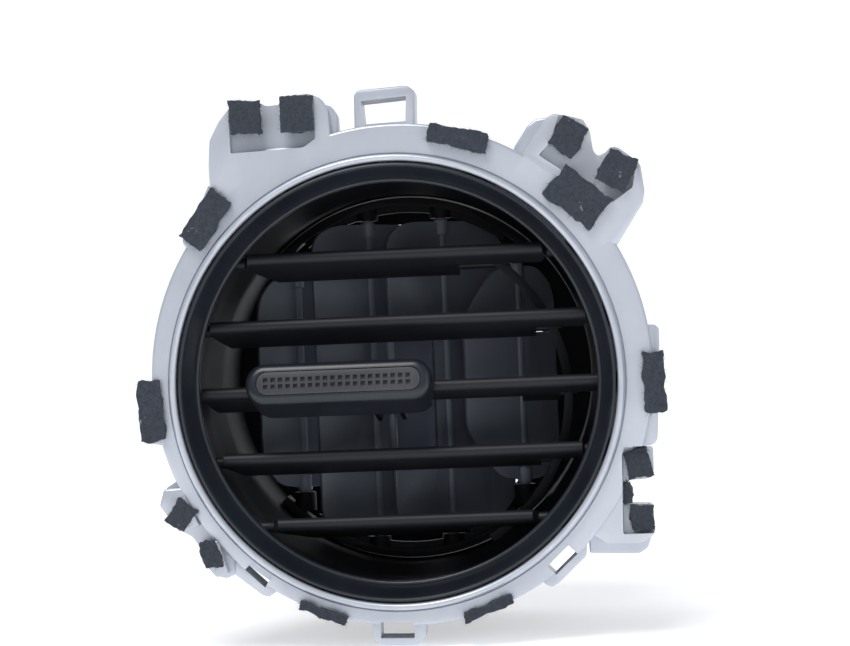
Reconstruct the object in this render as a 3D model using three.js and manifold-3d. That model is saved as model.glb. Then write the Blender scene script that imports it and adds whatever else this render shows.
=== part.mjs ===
// Round dashboard air outlet: silver bezel, black barrel, five horizontal vanes, sliding knob, four vertical blades.
// Millimetres. The front faces -Y, +X is to the right seen from the front, +Z is up.
// The origin is the centre of the opening, on the plane where the flange's skirt meets the dashboard.
import * as THREE from "three";
import { mergeVertices } from "three/addons/utils/BufferGeometryUtils.js";
import Module from "manifold-3d";

const wasm = await Module();
wasm.setup();

// ---- driving dimensions ----
const OPENING_R = 45.2; // inner radius of the silver bead
const BEAD_FRONT = -6.5; // y of the bead's crest
const FLANGE = { x: 1, z: 1.5, r: 51.4, front: -4.6, skin: 2.2, wall: 1.8 };
const SEGMENTS = 48; // sides of a full circle
const ARC_SEGMENTS = 6; // sides of a short arc
const LIP_R = 41.2; // inner radius of the black lip
const BARREL = { front: 42.5, rear: 40.5, wall: 2, start: 5, taperStart: 22, taperEnd: 27, end: 60 };
const VANE = { count: 5, pitch: 13.9, rowCentre: -2, pivotY: 8, ahead: 4, behind: 15, nose: 1.3, gap: 0.7 };
const VANE_REST = 13; // degrees nose-up at rest
const VANE_LIMIT = 22; // degrees either way from level
const VANE_PIN = { r: 1.2, hole: 1.5, boss: 2.6, reach: 1.6 };
const CRANK = { behind: 8.5, r: 0.9, hole: 1.25 }; // the vanes' link pins, behind their pivots
const LINK = { inner: 34.2, outer: 36, depth: 4.8 };
const KNOB = { width: 38.6, height: 8.8, corner: 4.1, front: -12, back: 3, rest: -12, wall: 2.7 };
const BLADE = { pitch: 16.4, pivotY: 39, thick: 1.4, hub: 1.7, rest: -60 };
// Half outlines of the blades, left to right: [distance behind the pivot, half-height].
const BLADE_SHAPES = [
  [[-10, 15.5], [-9, 19.5], [-6, 23], [0, 24], [6, 23.5], [9, 20], [10, 17]],
  [[-14, 30], [-12, 33], [-8, 34.4], [8, 34.4], [13, 31.5], [16, 28]],
  [[-14, 30], [-12, 33], [-8, 34.4], [8, 34.4], [13, 31.5], [16, 28]],
  [[-14, 12], [-12, 15.5], [-9, 19.5], [-6, 23], [0, 24], [5, 23.5], [8, 20], [9, 17]],
];
const DRIVEN = 2; // index of the blade that the knob moves
const BAR = { r: 0.9, reach: 13.86, low: -16.5, high: 10.5, window: 3.2 }; // the driven blade's bar, which the fork grips
const BLADE_CRANK = { behind: 7, z: 10.7, r: 0.8, hole: 1.15, eye: 2.3, notchFrom: 3.4, notchTo: 11.2 };
// The rim inside the duct's rear end, and the opening that it leaves.
const MOUTH = {
  front: 57.2, back: 58.8,
  outline: [[31, -17], [31, 17], [14, 34], [11.4, 35], [-11.4, 35], [-14, 34], [-31, 17], [-31, -17], [-14, -34],
    [-9, -35.7], [-4.6, -36.5], [0, -36.8], [4.6, -36.5], [9, -35.7], [14, -34]],
};
const FELT = { thick: 1.3, gap: 0.3 };

// ---- geometry helpers ----
const rad = THREE.MathUtils.degToRad;

// A closed geometry as a manifold solid, turned to face outwards.
function solid(geometry) {
  const bare = geometry.clone();
  bare.deleteAttribute("normal");
  bare.deleteAttribute("uv");
  const merged = mergeVertices(bare, 1e-4);
  const build = (triVerts) =>
    new wasm.Manifold(
      new wasm.Mesh({ numProp: 3, vertProperties: merged.attributes.position.array, triVerts }),
    );
  const indices = new Uint32Array(merged.index.array);
  const made = build(indices);
  if (made.volume() > 0) return made;
  for (let i = 0; i < indices.length; i += 3)
    [indices[i + 1], indices[i + 2]] = [indices[i + 2], indices[i + 1]];
  return build(indices);
}

// A manifold solid as a geometry with one normal to each face.
function geometryOf(made) {
  const { vertProperties, triVerts, numProp } = made.getMesh();
  const positions = new Float32Array((vertProperties.length / numProp) * 3);
  for (let i = 0; i * numProp < vertProperties.length; i++)
    positions.set(vertProperties.subarray(i * numProp, i * numProp + 3), i * 3);
  const geometry = new THREE.BufferGeometry();
  geometry.setAttribute("position", new THREE.BufferAttribute(positions, 3));
  geometry.setIndex(new THREE.BufferAttribute(new Uint32Array(triVerts), 1));
  const faceted = geometry.toNonIndexed();
  faceted.computeVertexNormals();
  return faceted;
}

const union = (solids) => solids.reduce((sum, next) => sum.add(next));
const cut = (body, tools) => tools.reduce((rest, tool) => rest.subtract(tool), body);

// A solid of revolution about Y from a closed outline of [radius, y] points.
function lathe(outline, segments = SEGMENTS) {
  const points = [...outline, outline[0]].map(([r, y]) => new THREE.Vector2(r, y));
  return solid(new THREE.LatheGeometry(points, segments));
}

const shapeOf = (outline) => new THREE.Shape(outline.map(([a, b]) => new THREE.Vector2(a, b)));

// An outline in X and Z, run along Y from front to back.
function prism(outline, front, back, curveSegments = ARC_SEGMENTS) {
  const shape = Array.isArray(outline) ? shapeOf(outline) : outline;
  const geometry = new THREE.ExtrudeGeometry(shape, { depth: back - front, bevelEnabled: false, curveSegments });
  return solid(geometry.rotateX(Math.PI / 2).translate(0, back, 0));
}

// An outline of [y, z] points, run along X from low to high.
function profileAlongX(outline, low, high) {
  const shape = shapeOf(outline.map(([y, z]) => [-z, y]));
  const geometry = new THREE.ExtrudeGeometry(shape, { depth: high - low, bevelEnabled: false });
  return solid(geometry.rotateY(Math.PI / 2).translate(low, 0, 0));
}

// An outline of [x, y] points, run along Z from low to high.
function plan(outline, low, high) {
  const geometry = new THREE.ExtrudeGeometry(shapeOf(outline), { depth: high - low, bevelEnabled: false });
  return solid(geometry.translate(0, 0, low));
}

function box([x0, x1], [y0, y1], [z0, z1]) {
  const geometry = new THREE.BoxGeometry(x1 - x0, y1 - y0, z1 - z0);
  return solid(geometry.translate((x0 + x1) / 2, (y0 + y1) / 2, (z0 + z1) / 2));
}

// A round rod along "x", "y" or "z" through centre, from low to high on that axis.
function rod(axis, [x, y, z], low, high, radius, sides = 16) {
  const geometry = new THREE.CylinderGeometry(radius, radius, high - low, sides);
  const middle = (low + high) / 2;
  if (axis === "x") return solid(geometry.rotateZ(Math.PI / 2).translate(middle, y, z));
  if (axis === "z") return solid(geometry.rotateX(Math.PI / 2).translate(x, y, middle));
  return solid(geometry.translate(x, middle, z));
}

// A round plate about (x, z), run along Y from front to back.
function plate(x, z, r, front, back) {
  const shape = new THREE.Shape();
  shape.absarc(x, z, r, 0, 2 * Math.PI);
  return prism(shape, front, back, SEGMENTS);
}

// A band between two radii about (0, z), from one angle to another in degrees.
function arcBand(inner, outer, from, to, z = 0) {
  const shape = new THREE.Shape();
  shape.absarc(0, z, outer, rad(from), rad(to), false);
  shape.absarc(0, z, inner, rad(to), rad(from), true);
  return shape;
}

function roundedRectangle(x0, x1, z0, z1, r) {
  const shape = new THREE.Shape();
  shape.absarc(x1 - r, z1 - r, r, 0, Math.PI / 2);
  shape.absarc(x0 + r, z1 - r, r, Math.PI / 2, Math.PI);
  shape.absarc(x0 + r, z0 + r, r, Math.PI, 1.5 * Math.PI);
  shape.absarc(x1 - r, z0 + r, r, 1.5 * Math.PI, 2 * Math.PI);
  return shape;
}

const halfChord = (radius, offset) => Math.sqrt(radius * radius - offset * offset);

// ---- materials ----
const FINISHES = {
  silver: { color: 0xc3c8d0, roughness: 0.35, metalness: 0.55 },
  black: { color: 0x17191c, roughness: 0.45, metalness: 0 },
  satin: { color: 0x101215, roughness: 0.3, metalness: 0 },
  blade: { color: 0x24272b, roughness: 0.5, metalness: 0 },
  rubber: { color: 0x1c1c1c, roughness: 0.9, metalness: 0 },
  foam: { color: 0x2b2b2d, roughness: 1, metalness: 0 },
  felt: { color: 0x3c434d, roughness: 1, metalness: 0 },
};

const vent = new THREE.Group();

function place(name, made, finish, parent = vent) {
  const mesh = new THREE.Mesh(geometryOf(made), new THREE.MeshStandardMaterial(FINISHES[finish]));
  mesh.name = name;
  parent.add(mesh);
  return mesh;
}

// ---- bezel ----
// Each lug is an outline in X and Z, pulled from its front face to its back face.
const LUGS = {
  topLeft: {
    front: -4.6, back: 3,
    outline: [[-36.6, 38], [-36.8, 46], [-36.4, 51], [-34.4, 54.8], [-31.4, 58.4], [-29.4, 59.2], [-26.8, 59],
      [-24.6, 57.8], [-22, 58], [-20.3, 59.6], [-15.8, 60], [-13.2, 58.8], [-11.6, 56.2], [-11.2, 49], [-20, 42]],
  },
  topLeftStep: {
    front: -2.4, back: 3,
    outline: [[-13, 48], [-13, 57.8], [-11.2, 57.2], [-10.1, 55.4], [-9.8, 49]],
  },
  topLoop: {
    front: -3.8, back: 5,
    outline: [[-6.5, 50], [-6.3, 59.2], [-5.4, 60.1], [4.7, 60.6], [6.2, 59.4], [5.9, 50]],
  },
  upperRight: {
    front: -4.6, back: 3,
    outline: [[27.4, 43], [27.8, 45.6], [32.4, 52], [34, 53.3], [36.6, 53.1], [40.4, 52], [41.7, 49.4], [42.2, 45.4],
      [43.2, 44.4], [44.8, 45.2], [45.6, 46.2], [47.2, 46], [50.8, 43.2], [51.6, 42], [52.2, 36.8], [51.8, 34.4],
      [46.2, 26], [40, 28]],
  },
  upperRightStep: {
    front: -2, back: 3,
    outline: [[25.6, 44], [26, 47], [29, 51.4], [30.6, 52.6], [34, 53], [36, 48], [32, 42]],
  },
  rightTab: {
    front: -3.4, back: 1,
    outline: [[49, 9.6], [53.2, 9.6], [54, 8.8], [53.9, 2], [52.8, -13.8], [52, -14.8], [49, -15.2]],
  },
  lowerRight: {
    front: -4.2, back: 3,
    outline: [[44, -15.4], [51.9, -15.4], [51.8, -20.5], [50.8, -21.8], [46.4, -22], [46.2, -26.8], [51.4, -27],
      [51.6, -32.6], [50.2, -34], [48.4, -34.8], [41.3, -34.6], [38, -32], [38, -22]],
  },
  lowerRightStep: {
    front: -1.6, back: 3,
    outline: [[38, -30], [38.1, -36.7], [48.2, -37.1], [50, -36], [50.8, -33.8], [48, -28]],
  },
  lowerRightLoop: {
    front: -3.4, back: 4,
    outline: [[35.6, -31], [37.6, -34.2], [37.4, -37], [31.6, -42.3], [30.2, -43.1], [28.8, -42.6], [27.2, -40]],
  },
  bottomLoop: {
    front: -3.4, back: 4,
    outline: [[-7.1, -47], [-6.9, -52.3], [-5.4, -53.9], [2.3, -54.1], [4, -52.3], [4.1, -47]],
  },
  lowerLeftLoop: {
    front: -3.4, back: 4,
    outline: [[-33.2, -33], [-35, -36], [-34.9, -38.4], [-29.4, -42.8], [-28.1, -43.2], [-26.5, -42.2], [-25.5, -40]],
  },
  lowerLeftTab: {
    front: -2.4, back: 1,
    outline: [[-44.5, -17.5], [-48.8, -20.2], [-49.8, -23.6], [-46, -29], [-43.6, -30.4], [-41.7, -33.2],
      [-41.3, -35.4], [-38.6, -38.7], [-36.8, -39.2], [-34.9, -38.4], [-33, -34]],
  },
  lowerLeftUpperBlock: {
    front: -4.6, back: 0.5,
    outline: [[-45, -20], [-48.8, -20.2], [-49.8, -23.6], [-46, -29], [-41.6, -28]],
  },
  lowerLeftLowerBlock: {
    front: -4.6, back: 0.5,
    outline: [[-38, -31], [-41.5, -31.4], [-41.6, -35.2], [-38.6, -38.7], [-36, -38]],
  },
  leftTab: {
    front: -3, back: 1,
    outline: [[-48, 2], [-53.2, 2.3], [-53.7, 0.6], [-53.2, -10.5], [-48, -11.4]],
  },
  upperLeftBump: {
    front: -4.6, back: 0.5,
    outline: [[-36.6, 42], [-42.4, 30], [-40, 27], [-34, 36]],
  },
};

// Pockets let into the lugs' front faces, and windows through the clip loops.
const POCKETS = [
  { front: -6, back: -2.4, outline: [[-32.3, 62], [-32.1, 48.2], [-17, 48.8], [-14.5, 50.5], [-14.5, 62]] },
  { front: -6, back: -2.4, outline: [[33.4, 47.4], [31, 45], [45.6, 34.7], [49.8, 37.6], [50.4, 41.4], [60, 60], [38, 60]] },
  { front: -6, back: -1.6, outline: [[45.4, -15], [45, -32.8], [56, -32.8], [56, -15]] },
];
const WINDOWS = [
  [[-4.9, 57.8], [4.4, 58.4], [4.1, 53.3], [-4.6, 53]],
  [[33.8, -34.6], [35.6, -36.4], [31.1, -40.6], [29.3, -38.8]],
  [[-5.2, -49], [1.7, -49.1], [1.6, -52.6], [-5.3, -52.4]],
  [[-31.2, -35.8], [-32.8, -37.4], [-28.8, -41.2], [-27.2, -39]],
];
const SNAPS = { angles: [66, 114, 246, 294], width: 8, front: 4, back: 12, slot: [7.6, 10.4] };

function bezel() {
  const { x, z, r, front, skin, wall } = FLANGE;
  const hollow = plate(x, z, r - wall, front + skin, 1);
  const flange = plate(x, z, r, front, 0).subtract(hollow);
  const lugs = Object.values(LUGS).map((lug) => prism(lug.outline, lug.front, lug.back));
  const collar = lathe([
    [OPENING_R, BEAD_FRONT + 0.6], [OPENING_R + 0.3, BEAD_FRONT + 0.1], [OPENING_R + 0.7, BEAD_FRONT],
    [OPENING_R + 1.1, BEAD_FRONT + 0.3], [OPENING_R + 1.3, -4.2], [OPENING_R + 1.7, -4.2],
    [OPENING_R + 1.9, -4.9], [OPENING_R + 3.5, -4.4], [OPENING_R + 3.5, -2.7], [OPENING_R + 2, -2.7],
    [OPENING_R + 2, SNAPS.front + 1], [OPENING_R, SNAPS.front + 1],
  ]);
  const opening = rod("y", [0, 0, 0], -20, 20, OPENING_R + 0.9, SEGMENTS);
  const body = cut(union([flange, ...lugs]), [opening]).add(collar);
  const pockets = POCKETS.map((pocket) => prism(pocket.outline, pocket.front, pocket.back));
  const windows = WINDOWS.map((outline) => prism(outline, -10, 10));
  return cut(union([body, ...snapArms()]), [...pockets, ...windows]);
}

// Four arms run back from the collar, each with a slot for a ramp on the barrel.
function snapArms() {
  const halfAngle = THREE.MathUtils.radToDeg(SNAPS.width / 2 / OPENING_R);
  return SNAPS.angles.map((angle) =>
    prism(arcBand(OPENING_R, OPENING_R + 2, angle - halfAngle, angle + halfAngle), SNAPS.front, SNAPS.back)
      .subtract(snapBlock(angle, OPENING_R - 2, OPENING_R + 4, 2.6, SNAPS.slot)),
  );
}

// A block centred on a radius at the given angle.
function snapBlock(angle, inner, outer, halfWidth, [front, back]) {
  return box([inner, outer], [front, back], [-halfWidth, halfWidth]).rotate([0, -angle, 0]);
}

// ---- black parts that don't move ----
function trimRing() {
  return lathe([
    [44.8, -5.8], [44.2, -5.8], [42.9, -2.6], [41.5, 0.2], [LIP_R, 1], [LIP_R, 1.7], [LIP_R + 0.4, 2.3],
    [43.4, 2.6], [43.4, 4.6], [44.8, 4.6],
  ]);
}

function housing() {
  const { front, rear, wall, start, taperStart, taperEnd, end } = BARREL;
  const shell = lathe([
    [front, start], [front + wall, start], [front + wall, taperStart], [rear + wall, taperEnd],
    [rear + wall, end], [rear, end], [rear, taperEnd], [front, taperStart],
  ]);
  const ribs = [47.5, 58.4].map((y) =>
    lathe([[rear + 1, y], [rear + 5.6, y], [rear + 5.6, y + 1.6], [rear + 1, y + 1.6]]),
  );
  const ramps = SNAPS.angles.map((angle) => snapBlock(angle, front + 1, 46.4, 2.1, [8, 10]));
  const bosses = vaneHeights().flatMap((z) =>
    [-1, 1].map((side) => {
      const wallX = halfChord(front + wall / 2, z);
      const [low, high] = side < 0 ? [-wallX - 3, -wallX + 1] : [wallX - 1, wallX + 3];
      return rod("x", [0, VANE.pivotY, z], low, high, VANE_PIN.boss);
    }),
  );
  const rim = rod("y", [0, 0, 0], MOUTH.front, MOUTH.back, rear + 0.5, SEGMENTS)
    .subtract(prism(MOUTH.outline, taperEnd, end));
  const bore = rod("y", [0, 0, 0], 0, taperStart, front, SEGMENTS);
  const pinHoles = vaneHeights().map((z) => rod("x", [0, VANE.pivotY, z], -60, 60, VANE_PIN.hole, 12));
  return cut(union([shell, rim, ...ribs, ...ramps, ...bosses]), [bore, ...pinHoles]);
}

// The arc bar with the four posts that hold one end of each blade.
function pivotStrip(side) {
  const inside = BARREL.rear - 0.5;
  const [front, back] = [BLADE.pivotY - 2.5, BLADE.pivotY + 2.5];
  const [from, to] = side > 0 ? [42, 138] : [222, 318];
  const postR = 2.4;
  const band = prism(arcBand(inside - 1.8, inside, from, to), front, back, 14);
  const rib = prism(arcBand(inside - 3.2, inside, from + 12, to - 12), BLADE.pivotY - 0.8, BLADE.pivotY + 0.8, 10);
  const posts = bladePlaces().map(({ x, half }) => {
    const [near, far] = [half + 0.8, halfChord(inside - 0.4, Math.abs(x) + postR)];
    return rod("z", [x, BLADE.pivotY, 0], ...(side > 0 ? [near, far] : [-far, -near]), postR);
  });
  const sockets = bladePlaces().map(({ x, half }) => {
    const [near, far] = [half, half + 3.2];
    return rod("z", [x, BLADE.pivotY, 0], ...(side > 0 ? [near, far] : [-far, -near]), 1.4, 12);
  });
  return cut(union([band, rib, ...posts]), sockets);
}

function rearSeal() {
  const r = BARREL.rear + BARREL.wall + 0.3;
  return lathe([[r, 49.6], [r + 3.6, 50.2], [r + 4.4, 53.5], [r + 3.6, 57.2], [r, 58]], 48);
}

// ---- horizontal vanes ----
function vaneHeights() {
  const middle = (VANE.count - 1) / 2;
  return Array.from({ length: VANE.count }, (_, i) => VANE.rowCentre + (middle - i) * VANE.pitch);
}

// Half the room for a vane at height z, at a chord station s behind its pivot, over its whole swing.
function vaneReach(z, s) {
  const swing = Math.abs(s) * Math.sin(rad(VANE_LIMIT));
  return halfChord(BARREL.front, Math.abs(z) + swing + VANE.nose) - VANE.gap;
}

// The vane's right edge where the link passes behind it.
const linkEdge = (z) => halfChord(LINK.inner, Math.abs(z - VANE.rowCentre) + 3.6) - 0.7;

function vane(z, isMiddle) {
  const { ahead, behind, nose, pivotY } = VANE;
  const noseArc = Array.from({ length: 7 }, (_, i) => rad(90 + i * 30)).map((a) => [
    nose - ahead + nose * Math.cos(a), nose * Math.sin(a),
  ]);
  const section = [...noseArc, [2, -0.95], [behind, -0.55], [behind, 0.55], [2, 0.95]];
  const stations = [-ahead, 0, 3, 6, 9, 12, behind];
  const left = stations.map((s) => [-vaneReach(z, s), s]);
  const right = [-ahead, 0, 3, 5.4].map((s) => [vaneReach(z, s), s]);
  const clipped = [[linkEdge(z), 5.4], [Math.min(linkEdge(z), vaneReach(z, behind)), behind]];
  const outline = plan([...right, ...clipped, ...left.reverse()], -3, 3);
  const blade = profileAlongX(section, -44, 44).intersect(outline);
  const tip = halfChord(BARREL.front, z) + VANE_PIN.reach;
  const pin = rod("x", [0, 0, 0], -tip, tip, VANE_PIN.r, 12);
  const crankEnd = halfChord(LINK.outer, z - VANE.rowCentre) + 1;
  const crank = rod("x", [0, CRANK.behind, 0], linkEdge(z) - 1, crankEnd, CRANK.r, 10);
  const whole = union([blade, pin, crank]);
  const notch = box([-8.5, 25.3], [8, behind + 2], [-3, 3]);
  return { made: isMiddle ? whole.subtract(notch) : whole, at: [0, pivotY, z] };
}

function vaneLink() {
  const y = VANE.pivotY + CRANK.behind * Math.cos(rad(VANE_REST));
  const drop = -CRANK.behind * Math.sin(rad(VANE_REST));
  const centre = VANE.rowCentre + drop;
  const [front, back] = [y - LINK.depth / 2, y + LINK.depth / 2];
  const band = prism(arcBand(LINK.inner, LINK.outer, -60, 60, centre), front, back, 20);
  const holes = vaneHeights().map((z) => rod("x", [0, y, z + drop], 0, 60, CRANK.hole, 12));
  return cut(band, holes);
}

// ---- knob, in the middle vane's own frame ----
function knobShell() {
  const { width, height, corner, front, back, wall } = KNOB;
  const outline = (inset) =>
    roundedRectangle(-width / 2 + inset, width / 2 - inset, -height / 2 + inset, height / 2 - inset, corner - inset);
  const layers = [[0, front + 2.4], [0.35, front + 1.2], [0.9, front + 0.5], [1.8, front]];
  const body = union(layers.map(([inset, y]) => prism(outline(inset), y, back)));
  const slot = box([-width, width], [-VANE.ahead - 0.4, back + 1], [-VANE.nose - 0.35, VANE.nose + 0.35]);
  const mouth = box([-width, width], [-1, back + 1], [-wall - 0.2, wall + 0.2]);
  const padPocket = box([-4.4, 4.4], [-7, -VANE.ahead], [-1.5, 1.5]);
  const gripPocket = prism(roundedRectangle(-17, 17, -2.5, 2.5, 2.2), front - 1, front + 1);
  return cut(body, [slot, mouth, padPocket, gripPocket]);
}

const knobGrip = () => prism(roundedRectangle(-16.7, 16.7, -2.2, 2.2, 1.9), KNOB.front - 0.1, KNOB.front + 0.7);
const frictionPad = () => box([-4, 4], [-6.7, -VANE.ahead - 0.3], [-1.2, 1.2]);

// Two plates reach back either side of the vane, meet behind its notch and run on as two prongs.
function knobFork() {
  const x = bladePlaces()[DRIVEN].x;
  const [front, bridge, tip] = [-0.7, 10.4, 26.8];
  const plates = [[1.25, 2.55], [-2.55, -1.25]].map((z) => box([x - 3.3, x + 3.3], [front, bridge], z));
  const web = box([x - 3.3, x + 3.3], [8.6, bridge], [-2.55, 2.55]);
  const prongs = [-1, 1].map((side) => {
    const [near, far] = [2.2 * side, 3.3 * side];
    const outline = [[8.6, -2.2], [tip - 1.5, -1.6], [tip, -0.8], [tip, 0.8], [tip - 1.5, 1.6], [8.6, 2.2]];
    return profileAlongX(outline, x + Math.min(near, far), x + Math.max(near, far));
  });
  return union([...plates, web, ...prongs]);
}

// ---- vertical blades ----
function bladePlaces() {
  return BLADE_SHAPES.map((shape, i) => ({
    shape,
    half: Math.max(...shape.map(([, height]) => height)),
    x: (i - (BLADE_SHAPES.length - 1) / 2) * BLADE.pitch,
  }));
}

// One blade, straight ahead, with its pivot on the local Z axis.
function rearBlade({ shape, half }, isDriven) {
  const { thick, hub } = BLADE;
  const mirrored = shape.map(([s, height]) => [s, -height]).reverse();
  const parts = [
    profileAlongX([...shape, ...mirrored], -thick / 2, thick / 2),
    rod("z", [0, 0, 0], -half, half, hub),
    rod("z", [0, 0, 0], -half - 2.8, half + 2.8, 1.15, 12),
  ];
  const { behind: crankY, z, r, notchFrom, notchTo } = BLADE_CRANK;
  const notch = box([-5, 5], [notchFrom, notchTo], [z - 1.8, z + 1.8]);
  let made = union(parts).subtract(notch).add(rod("z", [0, crankY, 0], z - 2.2, z + 2.2, r, 10));
  if (isDriven) {
    const { low, high, reach, r: barR, window: hubSide } = BAR;
    const horn = box([-thick / 2, thick / 2], [-reach - 0.3, shape[0][0] + 1], [low - 2, high + 2]);
    const window = box([-5, 5], [-reach - 3, -hubSide], [low, high]);
    made = made.add(horn).subtract(window).add(rod("z", [0, -reach, 0], low - 1.8, high + 1.8, barR, 12));
  }
  return made;
}

function bladeLink() {
  const { behind, z, hole, eye } = BLADE_CRANK;
  const swing = rad(-BLADE.rest);
  const [dx, y] = [behind * Math.sin(swing), BLADE.pivotY + behind * Math.cos(swing)];
  const xs = bladePlaces().map((place) => place.x + dx);
  const bar = box([xs[0], xs[xs.length - 1]], [y - 1, y + 1], [z - 0.8, z + 0.8]);
  const eyes = xs.map((x) => rod("z", [x, y, 0], z - 0.8, z + 0.8, eye));
  return cut(union([bar, ...eyes]), xs.map((x) => rod("z", [x, y, 0], z - 3, z + 3, hole, 12)));
}

// ---- felt pads: centre, size and turn in degrees, on the face at the given y ----
const FELT_PADS = {
  felt_top_left_outer: { x: -28.6, z: 55.4, w: 6.6, h: 6.8, turn: 3, y: -4.6 },
  felt_top_left_inner: { x: -18, z: 55.6, w: 6.8, h: 7.4, turn: 2, y: -4.6 },
  felt_upper_left: { x: -37.6, z: 34.8, w: 5.4, h: 11.6, turn: -36, y: -4.6 },
  felt_top: { x: 14.7, z: 49.2, w: 12, h: 3.9, turn: -13, y: -4.6 },
  felt_upper_right_outer: { x: 37.2, z: 48.4, w: 5.8, h: 6.6, turn: -33, y: -4.6 },
  felt_upper_right_inner: { x: 46.6, z: 41.2, w: 6.4, h: 6.8, turn: -28, y: -4.6 },
  felt_upper_right_lower: { x: 38.6, z: 36, w: 11.8, h: 7.6, turn: -40, y: -4.6 },
  felt_right: { x: 52.5, z: -1.9, w: 4.4, h: 12, turn: 1, y: -4.6 },
  felt_lower_right_upper: { x: 48.7, z: -18.6, w: 4.6, h: 5.8, turn: 12, y: -1.6 },
  felt_lower_right_middle: { x: 46.3, z: -24.6, w: 1.5, h: 4.4, turn: 0, y: -1.6 },
  felt_lower_right_lower: { x: 49.1, z: -29.8, w: 4.4, h: 5.2, turn: 3, y: -1.6 },
  felt_bottom_right: { x: 17.1, z: -46.8, w: 10.6, h: 2.2, turn: 19, y: -4.6 },
  felt_bottom_left: { x: -16.7, z: -46.5, w: 10.2, h: 1.7, turn: -21, y: -4.6 },
  felt_lower_left_upper: { x: -45.2, z: -25.6, w: 4.4, h: 5.2, turn: -34, y: -4.6 },
  felt_lower_left_lower: { x: -39.4, z: -33.8, w: 3.6, h: 5.2, turn: 12, y: -4.6 },
  felt_left: { x: -50.6, z: -4, w: 4.8, h: 12.4, turn: 3, y: -4.6 },
};

function placeFelt(name, { x, z, w, h, turn, y }) {
  const back = y - FELT.gap;
  const mesh = place(name, box([-w / 2, w / 2], [-FELT.thick, 0], [-h / 2, h / 2]), "felt");
  mesh.position.set(x, back, z);
  mesh.rotation.y = rad(-turn);
}

// ---- assembly ----
place("bezel_ring", bezel(), "silver");
place("trim_ring", trimRing(), "satin");
place("duct_housing", housing(), "black");
place("upper_pivot_strip", pivotStrip(1), "black");
place("lower_pivot_strip", pivotStrip(-1), "black");
place("rear_duct_seal", rearSeal(), "foam");

const middleVane = (VANE.count - 1) / 2;
vaneHeights().forEach((z, i) => {
  const { made, at } = vane(z, i === middleVane);
  const mesh = place(`front_vane_${i + 1}`, made, "black");
  mesh.position.set(...at);
  mesh.rotation.x = rad(-VANE_REST);
});
place("vane_link", vaneLink(), "black");

const knob = new THREE.Group();
knob.position.set(KNOB.rest, VANE.pivotY, VANE.rowCentre);
knob.rotation.x = rad(-VANE_REST);
vent.add(knob);
place("knob_shell", knobShell(), "satin", knob);
place("knob_grip", knobGrip(), "rubber", knob);
place("knob_fork", knobFork(), "black", knob);
place("knob_friction_pad", frictionPad(), "rubber", knob);

bladePlaces().forEach((blade, i) => {
  const mesh = place(`rear_blade_${i + 1}`, rearBlade(blade, i === DRIVEN), "blade");
  mesh.position.set(blade.x, BLADE.pivotY, 0);
  mesh.rotation.z = rad(BLADE.rest);
});
place("blade_link", bladeLink(), "black");

Object.entries(FELT_PADS).forEach(([name, pad]) => placeFelt(name, pad));

export default vent;
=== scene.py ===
"""Looks of a round car dashboard air outlet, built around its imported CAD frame.

Lengths are metres; sizes that read better in millimetres are multiplied by MM.
The front faces -Y, +X is to the right seen from the front, and +Z is up.
"""

import logging
import math
import random
from contextlib import contextmanager
from dataclasses import dataclass
from enum import Enum
from typing import Any, Iterable, Iterator, Sequence

import bpy
from mathutils import Matrix, Vector, noise


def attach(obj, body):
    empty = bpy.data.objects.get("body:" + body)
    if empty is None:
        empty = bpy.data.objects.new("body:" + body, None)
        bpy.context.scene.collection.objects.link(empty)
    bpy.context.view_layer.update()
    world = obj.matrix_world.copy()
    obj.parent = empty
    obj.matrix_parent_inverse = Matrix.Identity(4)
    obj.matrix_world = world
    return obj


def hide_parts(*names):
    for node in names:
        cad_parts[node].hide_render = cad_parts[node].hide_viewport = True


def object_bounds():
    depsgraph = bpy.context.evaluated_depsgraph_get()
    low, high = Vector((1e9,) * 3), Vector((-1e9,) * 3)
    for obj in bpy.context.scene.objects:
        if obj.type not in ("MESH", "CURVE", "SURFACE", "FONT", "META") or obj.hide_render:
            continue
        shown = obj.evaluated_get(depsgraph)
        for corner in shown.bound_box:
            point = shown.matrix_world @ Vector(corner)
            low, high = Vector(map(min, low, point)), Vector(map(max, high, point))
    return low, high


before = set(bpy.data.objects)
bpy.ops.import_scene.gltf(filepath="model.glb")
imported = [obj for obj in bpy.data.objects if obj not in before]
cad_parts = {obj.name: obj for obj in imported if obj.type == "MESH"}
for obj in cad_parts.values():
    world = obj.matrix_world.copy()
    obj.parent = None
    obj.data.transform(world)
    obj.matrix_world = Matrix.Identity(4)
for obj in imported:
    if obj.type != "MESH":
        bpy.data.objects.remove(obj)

logging.basicConfig(level=logging.INFO, format="%(message)s")
LOG = logging.getLogger("air_outlet")
MM = 0.001
NOISE_SEED = 7
noise.seed_set(NOISE_SEED)
CAD_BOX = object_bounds()

# Faces round a full turn: on rings seen close, on the barrel, and on the rings behind it.
FINE_TURN = 240
BARREL_TURN = 192
COARSE_TURN = 144

# Sizes that more than one sub-assembly needs, in millimetres and degrees.
BORE = 42.5
VANE_HEIGHTS = (25.8, 11.9, -2, -15.9, -29.8)
VANE_PIVOT_Y = 8
VANE_TIP = 13

Point = tuple[float, float]
Outline = Sequence[Point]
Colour = tuple[float, float, float, float]
Piece = bpy.types.Object


class Side(Enum):
    """Which ends of the blades a strip holds."""

    UPPER = "upper"
    LOWER = "lower"


class Combine(Enum):
    """How two closed shapes become one, as the Boolean modifier calls it."""

    ADD = "UNION"
    CUT = "DIFFERENCE"
    TRIM = "INTERSECT"


# ---------------------------------------------------------------- shader expressions


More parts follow.
